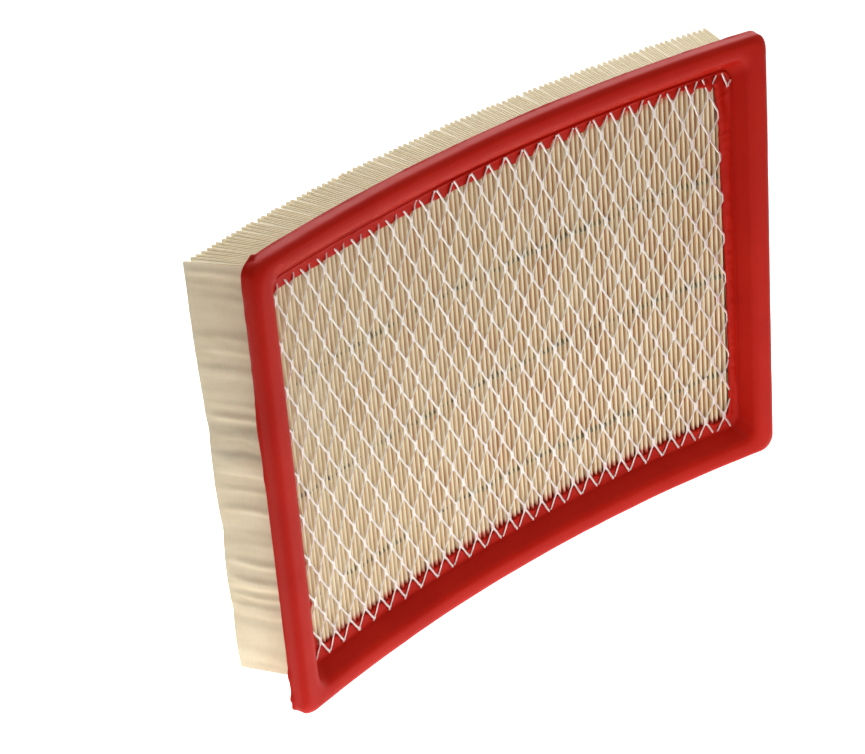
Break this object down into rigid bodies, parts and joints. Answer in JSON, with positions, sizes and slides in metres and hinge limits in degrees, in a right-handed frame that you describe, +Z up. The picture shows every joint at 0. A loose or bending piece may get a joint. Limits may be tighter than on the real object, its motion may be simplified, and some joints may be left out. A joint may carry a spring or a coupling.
{
  "type": "panel air filter",
  "caption": "Arched panel air filter: pleated paper pack moulded into a soft red sealing frame, with an expanded-metal screen lying in the recess of its hollow face.",
  "frame": {"origin": "middle of the sealing flange, on its arched back face, at half its length and half its width", "axes": "+X along the length, +Z up across the width, +Y from the screened hollow face towards the pleat tips"},
  "size_m": [0.2418, 0.0456, 0.1738],
  "materials": {
    "seal_pu": "soft moulded polyurethane, slightly mottled, satin to matt",
    "filter_paper": "resin-stiffened filter paper, matt",
    "screen_metal": "expanded sheet, dull",
    "hot_melt": "dried hot-melt glue, off-white"
  },
  "bodies": {
    "root": {"seal_frame": "seal_pu", "pleated_media": "filter_paper", "mesh_screen": "screen_metal", "edge_seal_lower": "hot_melt", "edge_seal_upper": "hot_melt", "spacer_bead_front_lower": "hot_melt", "spacer_bead_front_middle": "hot_melt", "spacer_bead_front_upper": "hot_melt", "spacer_bead_rear_lower": "hot_melt", "spacer_bead_rear_middle": "hot_melt", "spacer_bead_rear_upper": "hot_melt"}
  },
  "joints": []
}
